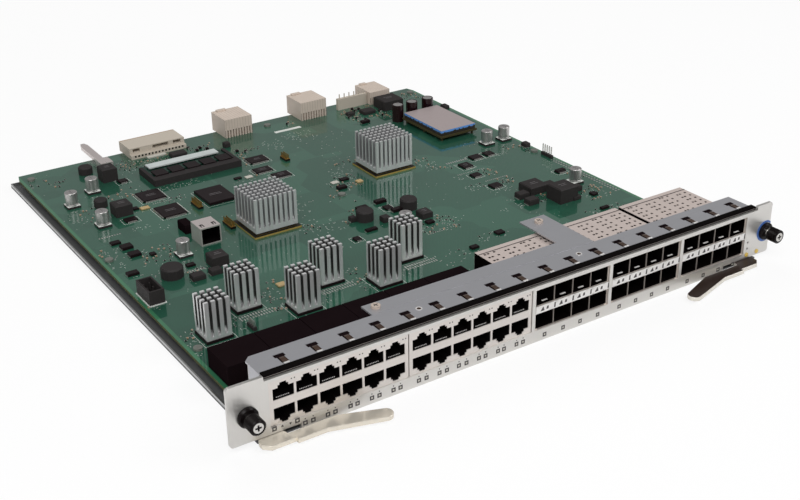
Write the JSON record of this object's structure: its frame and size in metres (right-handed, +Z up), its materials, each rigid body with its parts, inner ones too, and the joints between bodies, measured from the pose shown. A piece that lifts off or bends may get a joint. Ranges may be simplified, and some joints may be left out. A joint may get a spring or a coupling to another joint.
{
  "type": "switch line card",
  "caption": "Chassis line card: circuit board on a shallow tray behind a long front panel of network and optical ports, with ejector levers, captive thumbscrews and heat sinks",
  "frame": {"origin": "centre of the tray's underside, midway between the tray's side walls and between its ends", "axes": "+X to the right along the front panel, +Y from the panel to the rear connectors, +Z up from the tray through the board"},
  "size_m": [0.4061, 0.4618, 0.0407],
  "materials": {
    "panel_metal": "satin light warm grey sheet",
    "tray_metal": "satin dark grey sheet",
    "circuit_board": "glossy dark grey-green solder mask",
    "plated_sheet": "tin-plated spring sheet",
    "bracket_sheet": "satin blue-grey sheet",
    "polished_lever": "polished",
    "bright_screw": "bright zinc",
    "black_knob": "glossy black",
    "black_moulding": "matt black",
    "blue_paint": "flat blue",
    "foam": "black conductive foam",
    "sink_metal": "bright cast",
    "chip_plastic": "matt black epoxy",
    "can_metal": "brushed can",
    "beige_moulding": "matt beige",
    "light_pipe": "clear tinted",
    "converter_metal": "satin",
    "gold_pins": "gold plated"
  },
  "bodies": {
    "card": {"backplane_connector_a": "beige_moulding", "backplane_connector_b": "beige_moulding", "backplane_connector_c": "beige_moulding", "big_heat_sink_1": "sink_metal", "big_heat_sink_2": "sink_metal", "blue_ring": "blue_paint", "board_screws": "bright_screw", "board_standoffs": "bright_screw", "box_header": "black_moulding", "bracket_posts": "bright_screw", "bracket_screws": "bright_screw", "cage_strips": "plated_sheet", "can_capacitors": "can_metal", "converter_board": "circuit_board", "converter_cover": "converter_metal", "front_panel": "panel_metal", "guide_bar": "bright_screw", "guide_block": "bright_screw", "left_jack_housing": "black_moulding", "left_jack_shield": "plated_sheet", "lever_pins": "bright_screw", "logic_chips": "chip_plastic", "magnetics_modules": "chip_plastic", "main_board": "circuit_board", "memory_module": "circuit_board", "memory_socket": "black_moulding", "optical_cage_1": "plated_sheet", "optical_cage_2": "plated_sheet", "optical_cage_3": "plated_sheet", "panel_gasket": "foam", "pin_header": "beige_moulding", "pin_strips": "gold_pins", "port_chips": "chip_plastic", "power_connector": "beige_moulding", "power_inductors": "chip_plastic", "right_jack_housing": "black_moulding", "right_jack_shield": "plated_sheet", "round_inductors": "chip_plastic", "screw_ferrules": "black_knob", "screw_springs": "bright_screw", "sleeved_capacitors": "chip_plastic", "small_heat_sink_1": "sink_metal", "small_heat_sink_2": "sink_metal", "small_heat_sink_3": "sink_metal", "small_heat_sink_4": "sink_metal", "small_heat_sink_5": "sink_metal", "small_heat_sink_6": "sink_metal", "stacked_jack": "plated_sheet", "status_lights": "light_pipe", "switch_chips": "chip_plastic", "top_bracket": "bracket_sheet", "tray": "tray_metal"},
    "left_lever": {"left_lever": "polished_lever"},
    "right_lever": {"right_lever": "polished_lever"},
    "left_screw_slider": {"left_screw_ring": "bright_screw"},
    "right_screw_slider": {"right_screw_ring": "bright_screw"},
    "left_thumbscrew": {"left_captive_screw": "bright_screw", "left_knob": "black_knob"},
    "right_thumbscrew": {"right_captive_screw": "bright_screw", "right_knob": "black_knob"}
  },
  "joints": [
    {"name": "left_lever_swing", "type": "hinge", "parent": "card", "child": "left_lever", "pos_m": [-0.1821, -0.202, 0.00255], "axis": [0, 0, 1], "range_deg": [-55, 0]},
    {"name": "right_lever_swing", "type": "hinge", "parent": "card", "child": "right_lever", "pos_m": [0.1746, -0.202, 0.00255], "axis": [0, 0, 1], "range_deg": [0, 55]},
    {"name": "left_screw_push", "type": "slide", "parent": "card", "child": "left_screw_slider", "axis": [0, 1, 0], "range_m": [0, 0.002], "stiffness_N_per_m": 300, "springref_m": -0.002},
    {"name": "left_screw_turn", "type": "hinge", "parent": "left_screw_slider", "child": "left_thumbscrew", "pos_m": [-0.1951, -0.21, 0.0204], "axis": [0, 1, 0], "continuous": true},
    {"name": "right_screw_push", "type": "slide", "parent": "card", "child": "right_screw_slider", "axis": [0, 1, 0], "range_m": [0, 0.002], "stiffness_N_per_m": 300, "springref_m": -0.002},
    {"name": "right_screw_turn", "type": "hinge", "parent": "right_screw_slider", "child": "right_thumbscrew", "pos_m": [0.194, -0.21, 0.0204], "axis": [0, 1, 0], "continuous": true}
  ]
}
